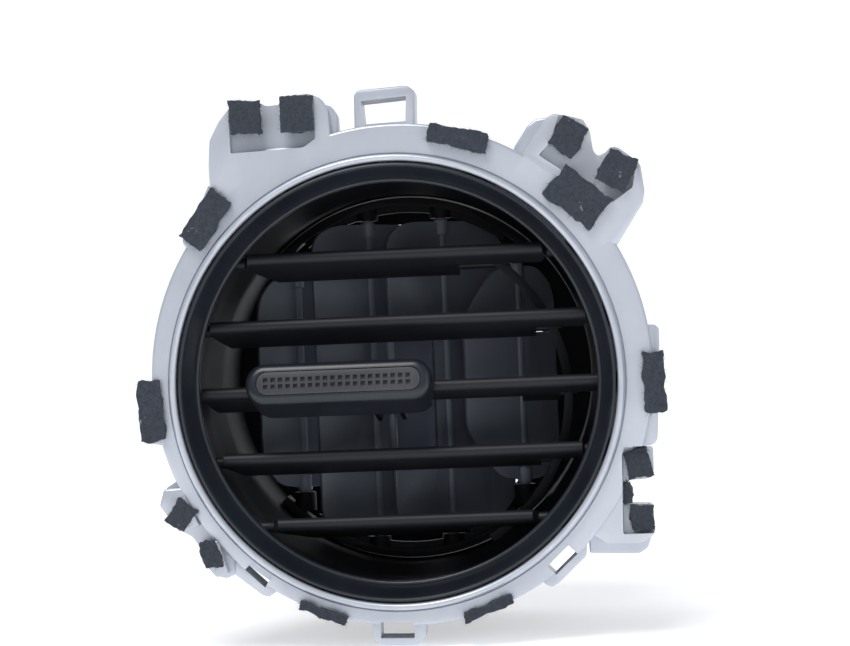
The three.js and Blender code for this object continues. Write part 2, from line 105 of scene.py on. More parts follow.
class Expression:
    """A socket that carries numbers, with arithmetic that adds Math nodes."""

    def __init__(self, graph: "Graph", socket: bpy.types.NodeSocket) -> None:
        """Wraps an output socket of a graph."""
        self.graph = graph
        self.socket = socket

    def _math(self, operation: str, first: Any, second: Any) -> "Expression":
        """Adds a Math node and wraps its result."""
        inputs = {0: first, 1: second}
        return self.graph.node("ShaderNodeMath", {"operation": operation}, inputs).out("Value")

    def __add__(self, other: Any) -> "Expression":
        """Adds."""
        return self._math("ADD", self, other)

    def __sub__(self, other: Any) -> "Expression":
        """Subtracts."""
        return self._math("SUBTRACT", self, other)

    def __rsub__(self, other: Any) -> "Expression":
        """Subtracts this from a number."""
        return self._math("SUBTRACT", other, self)

    def __mul__(self, other: Any) -> "Expression":
        """Multiplies."""
        return self._math("MULTIPLY", self, other)

    __radd__ = __add__
    __rmul__ = __mul__

    def ramp(self, low: float, high: float) -> "Expression":
        """Stretches the range from low to high over 0 to 1, and clamps it.

        Args:
            low: the value that becomes 0.
            high: the value that becomes 1.

        Returns:
            The stretched value.
        """
        settings = {"clamp": True}
        inputs = {"Value": self, "From Min": low, "From Max": high}
        return self.graph.node("ShaderNodeMapRange", settings, inputs).out("Result")


class Node:
    """A shader node whose outputs are read by name."""

    def __init__(self, graph: "Graph", node: bpy.types.Node) -> None:
        """Wraps a node of the graph."""
        self.graph = graph
        self.node = node

    def out(self, name: str) -> Expression:
        """Returns the named output as an expression."""
        return Expression(self.graph, self.node.outputs[name])


class Graph:
    """The node tree of one material."""

    def __init__(self, name: str) -> None:
        """Starts an empty material.

        Args:
            name: the material's name.
        """
        self.material = bpy.data.materials.new(name)
        self.material.use_nodes = True
        self.tree = self.material.node_tree
        self.tree.nodes.clear()
        self.place = self.node("ShaderNodeTexCoord").out("Object")

    def node(self, kind: str, settings: dict | None = None, inputs: dict | None = None) -> Node:
        """Adds any node.

        Args:
            kind: the node's type.
            settings: attributes that are set before its sockets.
            inputs: values or expressions by socket name or number.

        Returns:
            The node.
        """
        made = self.tree.nodes.new(kind)
        for key, value in (settings or {}).items():
            setattr(made, key, value)
        for key, value in (inputs or {}).items():
            socket = made.inputs[key]
            if isinstance(value, Expression):
                self.tree.links.new(value.socket, socket)
            else:
                socket.default_value = value
        return Node(self, made)

    def grain(
        self, scale: float, detail: float, rough: float, stretch: Sequence[float] = (1, 1, 1)
    ) -> Expression:
        """Returns noise from 0 to 1 over the object.

        Args:
            scale: how many features there are to a metre.
            detail: octaves.
            rough: how strong the fine octaves are.
            stretch: scale along each axis, for streaks.

        Returns:
            The noise.
        """
        inputs = {"Vector": self.place, "Scale": stretch}
        where = self.node("ShaderNodeMapping", {}, inputs).out("Vector")
        inputs = {"Vector": where, "Scale": scale, "Detail": detail, "Roughness": rough}
        return self.node("ShaderNodeTexNoise", {}, inputs).out("Fac")

    def cells(self, scale: float) -> Expression:
        """Returns the distance to the nearest of scale cell centres to a metre."""
        inputs = {"Vector": self.place, "Scale": scale}
        return self.node("ShaderNodeTexVoronoi", {}, inputs).out("Distance")

    def worn_edges(self, low: float, high: float) -> Expression:
        """Returns a mask that is 1 on convex edges."""
        return self.node("ShaderNodeNewGeometry").out("Pointiness").ramp(low, high)

    def blend(self, factor: Expression, first: Any, second: Any) -> Expression:
        """Mixes two colours.

        Args:
            factor: how much of the second colour there is.
            first: a colour.
            second: another colour.

        Returns:
            The mixed colour.
        """
        inputs = {0: factor, 6: first, 7: second}
        made = self.node("ShaderNodeMix", {"data_type": "RGBA"}, inputs)
        return Expression(self, made.node.outputs[2])

    def bump(self, height: Expression, strength: float, distance: float) -> Expression:
        """Returns a normal that height disturbs by up to distance metres."""
        inputs = {"Height": height, "Strength": strength, "Distance": distance}
        return self.node("ShaderNodeBump", {}, inputs).out("Normal")

    def finish(self, inputs: dict) -> bpy.types.Material:
        """Ends the graph in one Principled shader.

        Args:
            inputs: the shader's sockets by name.

        Returns:
            The finished material.
        """
        shader = self.node("ShaderNodeBsdfPrincipled", {}, inputs)
        output = self.tree.nodes.new("ShaderNodeOutputMaterial")
        self.tree.links.new(shader.node.outputs["BSDF"], output.inputs["Surface"])
        return self.material


def colour(red: float, green: float, blue: float) -> Colour:
    """Returns an opaque colour."""
    return (red, green, blue, 1.0)


# ---------------------------------------------------------------- finishes


@dataclass(frozen=True)
class SilverPaint:
    """Satin silver paint on moulded plastic, a little dulled by handling."""

    slot: str = "silver_paint"
    bright: Colour = colour(0.58, 0.61, 0.67)
    dull: Colour = colour(0.49, 0.52, 0.58)
    rubbed: Colour = colour(0.70, 0.72, 0.75)
    metallic: float = 0.45
    roughness: float = 0.30
    flakes_per_metre: float = 5200
    depth: float = 0.06 * MM

    def material(self) -> bpy.types.Material:
        """Returns the paint's material."""
        g = Graph(self.slot)
        flakes = g.grain(self.flakes_per_metre, 2, 0.6)
        haze = g.grain(38, 5, 0.6)
        smears = g.grain(120, 6, 0.65, (1, 1, 0.35)).ramp(0.56, 0.72)
        base = g.blend(haze.ramp(0.35, 0.7), self.bright, self.dull)
        base = g.blend(smears * 0.35, base, self.dull)
        base = g.blend(g.worn_edges(0.53, 0.62) * 0.6, base, self.rubbed)
        return g.finish({
            "Base Color": base,
            "Metallic": self.metallic,
            "Roughness": self.roughness + haze * 0.10 + smears * 0.12,
            "Normal": g.bump(flakes * 0.6 + haze * 0.4, 0.12, self.depth),
        })


@dataclass(frozen=True)
class MouldedBlack:
    """Dark moulded plastic with a fine grain, scuffed where it is handled."""

    slot: str
    tone: Colour
    worn: Colour
    roughness: float
    grain_per_metre: float
    depth: float
    scuffs: float
    shine: float = 0.5
    edge_gain: float = 2.2

    def material(self) -> bpy.types.Material:
        """Returns the plastic's material."""
        g = Graph(self.slot)
        fine = g.grain(self.grain_per_metre, 3, 0.55)
        cloud = g.grain(55, 5, 0.6)
        scratches = g.grain(260, 6, 0.7, (0.25, 1, 1)).ramp(0.60, 0.78)
        base = g.blend(cloud.ramp(0.3, 0.75), self.tone, self.worn)
        bare = colour(*(self.edge_gain * part for part in self.worn[:3]))
        base = g.blend(g.worn_edges(0.52, 0.60) * self.scuffs, base, bare)
        return g.finish({
            "Base Color": base,
            "Roughness": self.roughness + cloud * 0.10 + scratches * (0.16 * self.scuffs),
            "Normal": g.bump(fine, 0.35, self.depth),
            "Specular IOR Level": self.shine,
        })


@dataclass(frozen=True)
class Felt:
    """Dark slate felt with loose fibres and pale specks of glue."""

    slot: str = "felt"
    deep: Colour = colour(0.016, 0.020, 0.029)
    fluff: Colour = colour(0.060, 0.071, 0.095)
    glue: Colour = colour(0.34, 0.37, 0.41)
    roughness: float = 0.95
    sheen: float = 0.12
    depth: float = 0.35 * MM

    def material(self) -> bpy.types.Material:
        """Returns the felt's material."""
        g = Graph(self.slot)
        fibres = g.grain(1500, 8, 0.75, (1, 1, 2.2))
        crossing = g.grain(1200, 8, 0.75, (2.4, 1, 1))
        matted = fibres * 0.5 + crossing * 0.5
        specks = g.grain(420, 3, 0.6).ramp(0.69, 0.74)
        base = g.blend(matted.ramp(0.38, 0.66), self.deep, self.fluff)
        return g.finish({
            "Base Color": g.blend(specks * 0.5, base, self.glue),
            "Roughness": self.roughness,
            "Normal": g.bump(matted, 0.9, self.depth),
            "Sheen Weight": self.sheen,
        })


@dataclass(frozen=True)
class Foam:
    """Charcoal open-cell foam."""

    slot: str = "foam"
    pore: Colour = colour(0.008, 0.008, 0.009)
    wall: Colour = colour(0.05, 0.05, 0.054)
    pores_per_metre: float = 1100
    roughness: float = 0.95
    depth: float = 0.4 * MM

    def material(self) -> bpy.types.Material:
        """Returns the foam's material."""
        g = Graph(self.slot)
        pores = g.cells(self.pores_per_metre)
        return g.finish({
            "Base Color": g.blend(pores.ramp(0.1, 0.6), self.pore, self.wall),
            "Roughness": self.roughness,
            "Normal": g.bump(pores, 0.8, self.depth),
        })


SATIN = MouldedBlack(
    "satin_black", tone=colour(0.010, 0.013, 0.018), worn=colour(0.018, 0.023, 0.031),
    roughness=0.26, grain_per_metre=3600, depth=0.02 * MM, scuffs=0.25,
)
BARREL_BLACK = MouldedBlack(
    "black_plastic", tone=colour(0.004, 0.0045, 0.006), worn=colour(0.008, 0.009, 0.011),
    roughness=0.55, grain_per_metre=2600, depth=0.04 * MM, scuffs=0.3, shine=0.22,
)
VANE_BLACK = MouldedBlack(
    "vane_plastic", tone=colour(0.006, 0.007, 0.009), worn=colour(0.011, 0.012, 0.015),
    roughness=0.42, grain_per_metre=3000, depth=0.03 * MM, scuffs=0.4, shine=0.32,
)
BLADE_GREY = MouldedBlack(
    "blade_plastic", tone=colour(0.13, 0.145, 0.180), worn=colour(0.19, 0.21, 0.25),
    roughness=0.33, grain_per_metre=2400, depth=0.04 * MM, scuffs=0.7,
)
GRIP_BLACK = MouldedBlack(
    "grip_rubber", tone=colour(0.035, 0.037, 0.042), worn=colour(0.060, 0.063, 0.070),
    roughness=0.40, grain_per_metre=5200, depth=0.03 * MM, scuffs=0.6, shine=0.4,
)
FINISH_KINDS = (
    SilverPaint(), SATIN, BARREL_BLACK, VANE_BLACK, BLADE_GREY, GRIP_BLACK, Felt(), Foam(),
)


class Finishes:
    """Every finish's material, made once."""

    def __init__(self) -> None:
        """Makes the materials."""
        self.materials = {kind.slot: kind.material() for kind in FINISH_KINDS}

    def dress(self, piece: Piece, slot: str) -> None:
        """Gives a piece the finish of one of the material slots."""
        piece.data.materials.clear()
        piece.data.materials.append(self.materials[slot])


# ---------------------------------------------------------------- mesh tools


def mm(x: float, y: float, z: float) -> Vector:
    """Returns a place that is given in millimetres, in metres."""
    return Vector((x, y, z)) * MM


def arc(
    radius: float, start: float, end: float, steps: int, centre: Point = (0, 0)
) -> list[Point]:
    """Returns points on an arc, both ends included.

    Args:
        radius: the arc's radius.
        start: the first angle, in degrees.
        end: the last angle, in degrees.
        steps: how many steps the arc is cut into.
        centre: its centre.

    Returns:
        The points in order.
    """
    angles = (math.radians(start + (end - start) * i / steps) for i in range(steps + 1))
    return [(centre[0] + radius * math.cos(a), centre[1] + radius * math.sin(a)) for a in angles]


class Bench:
    """Modelling steps that the sub-assemblies share."""

    @staticmethod
    def alone(piece: Piece) -> None:
        """Makes a piece the only selected and the active object."""
        bpy.ops.object.select_all(action="DESELECT")
        piece.select_set(True)
        bpy.context.view_layer.objects.active = piece

    @staticmethod
    @contextmanager
    def editing(choose: str = "SELECT") -> Iterator[None]:
        """Keeps the active object in edit mode, with all of it selected or none of it.

        Args:
            choose: the action of select_all at the start.

        Yields:
            Nothing; the steps run in edit mode.
        """
        bpy.ops.object.mode_set(mode="EDIT")
        bpy.ops.mesh.select_all(action=choose)
        yield
        bpy.ops.object.mode_set(mode="OBJECT")

    @staticmethod
    def ring_of_points(name: str, points: Iterable[Vector], filled: bool) -> Piece:
        """Adds a circle primitive and moves its points to the given places.

        Args:
            name: the new object's name.
            points: where each point goes, in order.
            filled: whether the loop gets a face.

        Returns:
            The object, with its edit mode closed.
        """
        places = list(points)
        fill = "NGON" if filled else "NOTHING"
        bpy.ops.object.select_all(action="DESELECT")
        bpy.ops.mesh.primitive_circle_add(
            vertices=len(places), radius=1, fill_type=fill, location=(0, 0, 0)
        )
        piece = bpy.context.object
        piece.name = name
        for vertex, place_at in zip(piece.data.vertices, places):
            vertex.co = place_at
        return piece

    @classmethod
    def spin(cls, name: str, profile: Outline, steps: int = FINE_TURN) -> Piece:
        """Turns a closed outline of (radius, y) points in millimetres about the Y axis.

        Args:
            name: the new object's name.
            profile: the outline.
            steps: faces round the turn.

        Returns:
            The closed ring.
        """
        piece = cls.ring_of_points(name, (mm(r, y, 0) for r, y in profile), False)
        with cls.editing():
            bpy.ops.mesh.spin(steps=steps, angle=2 * math.pi, center=(0, 0, 0), axis=(0, 1, 0))
            bpy.ops.mesh.select_all(action="SELECT")
            bpy.ops.mesh.remove_doubles(threshold=1e-6)
            bpy.ops.mesh.normals_make_consistent(inside=False)
        return piece

    @classmethod
    def slab(cls, name: str, outline: Outline, front: float, back: float) -> Piece:
        """Pulls an (x, z) outline along Y from front to back, in millimetres."""
        piece = cls.ring_of_points(name, (mm(x, front, z) for x, z in outline), True)
        return cls.pull(piece, (0, (back - front) * MM, 0))

    @classmethod
    def beam(cls, name: str, outline: Outline, low: float, high: float) -> Piece:
        """Pulls a (y, z) outline along X from low to high, in millimetres."""
        piece = cls.ring_of_points(name, (mm(low, y, z) for y, z in outline), True)
        return cls.pull(piece, ((high - low) * MM, 0, 0))

    @classmethod
    def sheet(cls, name: str, outline: Outline, low: float, high: float) -> Piece:
        """Pulls an (x, y) outline along Z from low to high, in millimetres."""
        piece = cls.ring_of_points(name, (mm(x, y, low) for x, y in outline), True)
        return cls.pull(piece, (0, 0, (high - low) * MM))

    @classmethod
    def line(cls, name: str, points: Sequence[Vector]) -> Piece:
        """Adds an open line.

        Args:
            name: the new object's name.
            points: where the line goes, in metres and in order.

        Returns:
            The line.
        """
        piece = cls.ring_of_points(name, points, False)
        with cls.editing("DESELECT"):
            bpy.ops.mesh.select_mode(type="EDGE")
        ends = {0, len(points) - 1}
        for edge in piece.data.edges:
            edge.select = set(edge.vertices) == ends
        bpy.ops.object.mode_set(mode="EDIT")
        bpy.ops.mesh.delete(type="EDGE_FACE")
        bpy.ops.mesh.select_mode(type="VERT")
        bpy.ops.object.mode_set(mode="OBJECT")
        return piece

    @classmethod
    def pull(cls, piece: Piece, by: Sequence[float], closed: bool = True) -> Piece:
        """Extrudes all of a flat face or of a line.

        Args:
            piece: the face or the line.
            by: how far, in metres.
            closed: whether the result is a solid, whose faces are turned outwards.

        Returns:
            The same object.
        """
        cls.alone(piece)
        with cls.editing():
            bpy.ops.mesh.extrude_region_move(TRANSFORM_OT_translate={"value": by})
            if closed:
                bpy.ops.mesh.select_all(action="SELECT")
                bpy.ops.mesh.normals_make_consistent(inside=False)
        return piece

    @classmethod
    def apply(cls, piece: Piece, kind: str, **settings: Any) -> Piece:
        """Adds a modifier, sets it and applies it.

        Args:
            piece: the object.
            kind: the modifier's type.
            settings: the modifier's attributes.

        Returns:
            The same object.
        """
        cls.alone(piece)
        modifier = piece.modifiers.new(kind.lower(), kind)
        for key, value in settings.items():
            setattr(modifier, key, value)
        bpy.ops.object.modifier_apply(modifier=modifier.name)
        return piece

    @classmethod
    def combine(cls, piece: Piece, tool: Piece, how: Combine) -> Piece:
        """Combines a piece with another closed shape, and removes the other.

        Args:
            piece: the object that is kept.
            tool: the other shape.
            how: what becomes of the two.

        Returns:
            The piece.
        """
        cls.apply(piece, "BOOLEAN", operation=how.value, object=tool, solver="MANIFOLD")
        bpy.data.objects.remove(tool)
        return piece

    @classmethod
    def cut(cls, piece: Piece, tool: Piece) -> Piece:
        """Cuts a tool's shape out of a piece."""
        return cls.combine(piece, tool, Combine.CUT)

    @classmethod
    def unite(cls, piece: Piece, other: Piece) -> Piece:
        """Merges another closed shape into a piece."""
        return cls.combine(piece, other, Combine.ADD)

    @classmethod
    def soften(cls, piece: Piece, width: float, segments: int = 2, angle: float = 35) -> Piece:
        """Rounds sharp edges and shades the piece smooth.

        Args:
            piece: the object.
            width: how far the rounding reaches, in millimetres.
            segments: faces across the rounding.
            angle: the least angle of an edge that is rounded, in degrees.

        Returns:
            The same object.
        """
        cls.apply(
            piece, "BEVEL", width=width * MM, segments=segments, limit_method="ANGLE",
            angle_limit=math.radians(angle), harden_normals=False,
        )
        return cls.smooth(piece, 40)

    @classmethod
    def soften_marked(
        cls, piece: Piece, edges: Sequence[bpy.types.MeshEdge], width: float, segments: int
    ) -> Piece:
        """Rounds only the edges that are given.

        Args:
            piece: the object.
            edges: its edges.
            width: how far the rounding reaches, in millimetres.
            segments: faces across the rounding.

        Returns:
            The same object.
        """
        layer = piece.data.attributes.new("bevel_weight_edge", "FLOAT", "EDGE")
        for edge in edges:
            layer.data[edge.index].value = 1.0
        return cls.apply(
            piece, "BEVEL", width=width * MM, segments=segments, limit_method="WEIGHT"
        )

    @classmethod
    def smooth(cls, piece: Piece, angle: float) -> Piece:
        """Shades faces smooth where they meet at less than angle degrees."""
        cls.alone(piece)
        bpy.ops.object.shade_smooth_by_angle(angle=math.radians(angle))
        return piece

    @classmethod
    def rod(cls, start: Vector, end: Vector, radius: float, sides: int = 24) -> Piece:
        """Adds a round rod with softened ends.

        Args:
            start: the middle of one end, in metres.
            end: the middle of the other end.
            radius: in metres.
            sides: faces round it.

        Returns:
            The rod.
        """
        axis = end - start
        bpy.ops.object.select_all(action="DESELECT")
        bpy.ops.mesh.primitive_cylinder_add(
            vertices=sides, radius=radius, depth=axis.length, location=(0, 0, 0)
        )
        piece = bpy.context.object
        turn = axis.to_track_quat("Z", "Y").to_matrix().to_4x4()
        piece.data.transform(Matrix.Translation((start + end) / 2) @ turn)
        return cls.soften(piece, min(0.25, radius / MM / 4))

    @classmethod
    def brick(cls, low: Sequence[float], high: Sequence[float], round_by: float = 0) -> Piece:
        """Adds a box.

        Args:
            low: its low corner, in millimetres.
            high: its high corner.
            round_by: how far its edges are rounded, in millimetres.

        Returns:
            The box.
        """
        bpy.ops.object.select_all(action="DESELECT")
        bpy.ops.mesh.primitive_cube_add(size=1, location=(0, 0, 0))
        piece = bpy.context.object
        lower, upper = mm(*low), mm(*high)
        sizes = Matrix.Diagonal((*(upper - lower), 1))
        piece.data.transform(Matrix.Translation((lower + upper) / 2) @ sizes)
        return cls.soften(piece, round_by) if round_by else piece

    @staticmethod
    def seat(piece: Piece, at: Sequence[float], degrees: float = 0, axis: str = "X") -> Piece:
        """Turns a piece that was made at the origin about an axis, and moves it.

        Args:
            piece: the object.
            at: where the origin goes, in millimetres.
            degrees: the turn.
            axis: the axis's letter.

        Returns:
            The same object.
        """
        turn = Matrix.Rotation(math.radians(degrees), 4, axis)
        piece.data.transform(Matrix.Translation(mm(*at)) @ turn)
        return piece

    @staticmethod
    def swing(piece: Piece, angle: float) -> Piece:
        """Carries a piece that was made on the X axis round the outlet, by angle degrees."""
        piece.data.transform(Matrix.Rotation(-math.radians(angle), 4, "Y"))
        return piece

    @staticmethod
    def join(name: str, parts: Sequence[Piece]) -> Piece:
        """Joins parts into one object.

        Args:
            name: the joined object's name.
            parts: the objects; the first one is kept.

        Returns:
            The joined object.
        """
        bpy.ops.object.select_all(action="DESELECT")
        for part in parts:
            part.select_set(True)
        bpy.context.view_layer.objects.active = parts[0]
        bpy.ops.object.join()
        parts[0].name = name
        return parts[0]

    @classmethod
    def copy_of(cls, node: str, name: str) -> Piece:
        """Copies a CAD node's mesh and merges its loose triangles into clean faces.

        Args:
            node: the CAD node's name.
            name: the copy's name.

        Returns:
            The copy.
        """
        piece = bpy.data.objects.new(name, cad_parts[node].data.copy())
        bpy.context.collection.objects.link(piece)
        cls.alone(piece)
        with cls.editing():
            bpy.ops.mesh.remove_doubles(threshold=2e-6)
            bpy.ops.mesh.dissolve_limited(angle_limit=math.radians(0.5))
            bpy.ops.mesh.customdata_custom_splitnormals_clear()
        return piece


def place(piece: Piece, body: str, slot: str, finishes: Finishes, *nodes: str) -> Piece:
    """Registers a finished piece with the frame and gives it its finish.

    Args:
        piece: the object.
        body: the body that it rides on.
        slot: the material slot.
        finishes: the materials.
        nodes: the CAD nodes that it stands for.

    Returns:
        The same object.
    """
    finishes.dress(piece, slot)
    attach(piece, body)
    if nodes:
        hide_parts(*nodes)
    LOG.info("%s rides on %s, %d faces", piece.name, body, len(piece.data.polygons))
    return piece


def place_copy(
    node: str, name: str, body: str, finishes: Finishes, width: float = 0.2, angle: float = 50
) -> None:
    """Places a softened copy of a CAD node in the barrel's black.

    Args:
        node: the CAD node's name.
        name: the copy's name.
        body: the body that it rides on.
        finishes: the materials.
        width: how far its edges are rounded, in millimetres.
        angle: the least angle of an edge that is rounded, in degrees.
    """
    piece = Bench.soften(Bench.copy_of(node, name), width, angle=angle)
    place(piece, body, "black_plastic", finishes, node)


# ---------------------------------------------------------------- fixed parts


@dataclass(frozen=True)
class Lug:
    """One lug of the bezel: an outline in X and Z between two levels, in millimetres."""

    front: float
    back: float
    outline: Outline


# Solid lugs, shallow pockets in them, and the clip loops' windows.
LUGS = (
    Lug(-4.6, 3, [(-36.6, 38), (-36.8, 46), (-36.4, 51), (-34.4, 54.8), (-31.4, 58.4),
        (-29.4, 59.2), (-26.8, 59), (-24.6, 57.8), (-22, 58), (-20.3, 59.6), (-15.8, 60),
        (-13.2, 58.8), (-11.6, 56.2), (-11.2, 49), (-20, 42)]),
    Lug(-2.4, 3, [(-13, 48), (-13, 57.8), (-11.2, 57.2), (-10.1, 55.4), (-9.8, 49)]),
    Lug(-3.8, 5, [(-6.5, 50), (-6.3, 59.2), (-5.4, 60.1), (4.7, 60.6), (6.2, 59.4), (5.9, 50)]),
    Lug(-4.6, 3, [(27.4, 43), (27.8, 45.6), (32.4, 52), (34, 53.3), (36.6, 53.1), (40.4, 52),
        (41.7, 49.4), (42.2, 45.4), (43.2, 44.4), (44.8, 45.2), (45.6, 46.2), (47.2, 46),
        (50.8, 43.2), (51.6, 42), (52.2, 36.8), (51.8, 34.4), (46.2, 26), (40, 28)]),
    Lug(-2, 3, [(25.6, 44), (26, 47), (29, 51.4), (30.6, 52.6), (34, 53), (36, 48), (32, 42)]),
    Lug(-3.4, 1, [(49, 9.6), (53.2, 9.6), (54, 8.8), (53.9, 2), (52.8, -13.8), (52, -14.8),
        (49, -15.2)]),
    Lug(-4.2, 3, [(44, -15.4), (51.9, -15.4), (51.8, -20.5), (50.8, -21.8), (46.4, -22),
        (46.2, -26.8), (51.4, -27), (51.6, -32.6), (50.2, -34), (48.4, -34.8), (41.3, -34.6),
        (38, -32), (38, -22)]),
    Lug(-1.6, 3, [(38, -30), (38.1, -36.7), (48.2, -37.1), (50, -36), (50.8, -33.8), (48, -28)]),
    Lug(-3.4, 4, [(35.6, -31), (37.6, -34.2), (37.4, -37), (31.6, -42.3), (30.2, -43.1),
        (28.8, -42.6), (27.2, -40)]),
    Lug(-3.4, 4, [(-7.1, -47), (-6.9, -52.3), (-5.4, -53.9), (2.3, -54.1), (4, -52.3),
        (4.1, -47)]),
    Lug(-3.4, 4, [(-33.2, -33), (-35, -36), (-34.9, -38.4), (-29.4, -42.8), (-28.1, -43.2),
        (-26.5, -42.2), (-25.5, -40)]),
    Lug(-2.4, 1, [(-44.5, -17.5), (-48.8, -20.2), (-49.8, -23.6), (-46, -29), (-43.6, -30.4),
        (-41.7, -33.2), (-41.3, -35.4), (-38.6, -38.7), (-36.8, -39.2), (-34.9, -38.4),
        (-33, -34)]),
    Lug(-4.6, 0.5, [(-45, -20), (-48.8, -20.2), (-49.8, -23.6), (-46, -29), (-41.6, -28)]),
    Lug(-4.6, 0.5, [(-38, -31), (-41.5, -31.4), (-41.6, -35.2), (-38.6, -38.7), (-36, -38)]),
    Lug(-3, 1, [(-48, 2), (-53.2, 2.3), (-53.7, 0.6), (-53.2, -10.5), (-48, -11.4)]),
    Lug(-4.6, 0.5, [(-37, 42), (-40.5, 34.5), (-42.4, 32), (-42.9, 30.6), (-42.2, 29.2),
        (-40, 28.4), (-34, 34)]),
)
POCKETS = (
    Lug(-6, -2.4, [(-32.3, 62), (-32.1, 48.2), (-17, 48.8), (-14.5, 50.5), (-14.5, 62)]),
    Lug(-6, -2.4, [(33.4, 47.4), (31, 45), (45.6, 34.7), (49.8, 37.6), (50.4, 41.4), (60, 60),
        (38, 60)]),
    Lug(-6, -1.6, [(45.4, -15), (45, -32.8), (56, -32.8), (56, -15)]),
)
WINDOWS = (
    Lug(-10, 10, [(-4.9, 57.8), (4.4, 58.4), (4.1, 53.3), (-4.6, 53)]),
    Lug(-10, 10, [(33.8, -34.6), (35.6, -36.4), (31.1, -40.6), (29.3, -38.8)]),
    Lug(-10, 10, [(-5.2, -49), (1.7, -49.1), (1.6, -52.6), (-5.3, -52.4)]),
    Lug(-10, 10, [(-31.2, -35.8), (-32.8, -37.4), (-28.8, -41.2), (-27.2, -39)]),
)
SNAP_ANGLES = (66, 114, 246, 294)


@dataclass
class Bezel:
    """The painted ring: a spun collar, an off-centre flange, lugs with openings, and snap arms."""

    finishes: Finishes
    opening: float = 45.2
    bead_radius: float = 0.66
    bead_y: float = -5.84
    flange_centre: Point = (1, 1.5)
    flange_radius: float = 51.4
    flange_hole: float = 43
    flange_plate: float = 2.2
    wall: float = 2
    front: float = -4.6
    rounding: float = 0.45
    lug_angle: float = 18
    arm_half_angle: float = 5.07
    arm_ends: Point = (4, 12)
    arm_slot: tuple = ((43, 7.6, -2.6), (49, 10.4, 2.6))

    def collar(self) -> Piece:
        """Returns the spun bead, groove and inner ring."""
        r, wall = self.opening, self.wall
        bead = arc(self.bead_radius, 180, 360, 14, (r + self.bead_radius, self.bead_y))
        rest = [
            (r + 1.33, -3.9), (r + 3.2, -3.9), (r + 3.2, -2.7), (r + wall, -2.7), (r + wall, 4.8),
            (r + 1.8, 5), (r + 0.2, 5), (r, 4.8),
        ]
        return Bench.spin("collar", bead + rest)

    def flange(self) -> Piece:
        """Returns the off-centre plate with its skirt."""
        r, front, hole = self.flange_radius, self.front, self.flange_hole
        back = front + self.flange_plate
        edge = arc(0.7, 270, 360, 6, (r - 0.7, front + 0.7))
        skirt = [(r, -0.2), (r - 0.2, 0), (r - 1.8, 0), (r - 1.8, back)]
        made = Bench.spin("flange", [(hole, front), *edge, *skirt, (hole, back)])
        x, z = self.flange_centre
        return Bench.seat(made, (x, 0, z))

    def bore(self) -> Piece:
        """Returns the tool that opens the flange for the collar, with a rounded mouth."""
        r, front = self.opening, self.front
        mouth = [(r + 1.66, front + 0.2), (r + 1.72, front + 0.08), (r + 1.86, front)]
        return Bench.spin("bore", [(r + 1.66, 10), *mouth, (r + 1.86, -10), (20, -10), (20, 10)])

    def arm(self, angle: float) -> Piece:
        """Makes one slotted snap arm.

        Args:
            angle: where it stands round the ring, in degrees.

        Returns:
            The arm.
        """
        low, high = angle - self.arm_half_angle, angle + self.arm_half_angle
        outline = arc(self.opening, low, high, 6) + arc(self.opening + self.wall, high, low, 6)
        made = Bench.slab("arm", outline, *self.arm_ends)
        slot = Bench.swing(Bench.brick(*self.arm_slot), angle)
        return Bench.soften(Bench.cut(made, slot), 0.2)

    def build(self) -> None:
        """Joins the plate and lugs, cuts the openings and places the ring."""
        body = self.flange()
        for lugs, how in ((LUGS, Combine.ADD), (POCKETS, Combine.CUT)):
            for lug in lugs:
                block = Bench.slab("lug", lug.outline, lug.front, lug.back)
                Bench.combine(body, Bench.soften(block, self.rounding, 3, self.lug_angle), how)
        for window in WINDOWS:
            Bench.cut(body, Bench.slab("window", window.outline, window.front, window.back))
        Bench.smooth(Bench.cut(body, self.bore()), 28)
        collar = Bench.smooth(self.collar(), 35)
        ring = Bench.join("bezel", [body, collar, *(self.arm(angle) for angle in SNAP_ANGLES)])
        place(ring, "shell", "silver_paint", self.finishes, "bezel_ring")


